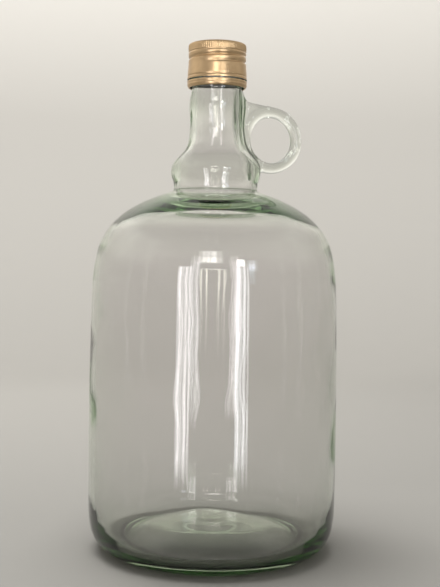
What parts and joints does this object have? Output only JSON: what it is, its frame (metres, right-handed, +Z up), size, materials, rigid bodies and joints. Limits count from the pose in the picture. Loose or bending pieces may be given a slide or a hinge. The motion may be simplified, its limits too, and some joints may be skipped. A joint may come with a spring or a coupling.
{
  "type": "glass carboy",
  "caption": "Large clear glass jug with a finger ring moulded on its neck and a rolled aluminium screw cap, for fermenting and storing wine.",
  "frame": {"origin": "centre of the base on the jug's axis, at the level of the flat ring the jug stands on", "axes": "+Z up along the jug's axis, +X from the axis towards the finger ring, whose plane is X-Z"},
  "size_m": [0.166, 0.166, 0.3363],
  "materials": {
    "glass": "clear moulded glass with a faint green tint",
    "gold_cap": "satin gold lacquer on rolled aluminium",
    "gold_band": "satin gold lacquer on rolled aluminium",
    "liner_foam": "fine-celled foam",
    "liner_film": "smooth barrier film"
  },
  "bodies": {
    "jug": {"glass_jug": "glass"},
    "band": {"tamper_band": "gold_band"},
    "liner": {"liner_wad": "liner_foam", "liner_facing": "liner_film"},
    "cap": {"cap_shell": "gold_cap"}
  },
  "joints": [
    {"name": "cap_lift", "type": "slide", "parent": "jug", "child": "liner", "axis": [0, 0, 1], "range_m": [0, 0.0275]},
    {"name": "cap_turn", "type": "hinge", "parent": "liner", "child": "cap", "pos_m": [0, 0, 0.324], "axis": [0, 0, 1], "range_deg": [0, 2340]},
    {"name": "band_turn", "type": "hinge", "parent": "jug", "child": "band", "pos_m": [0, 0, 0.3095], "axis": [0, 0, 1], "continuous": true}
  ],
  "couplings": [
    {"joint": "cap_lift", "follows": "cap_turn", "m_per_rad": 0.00066845}
  ]
}
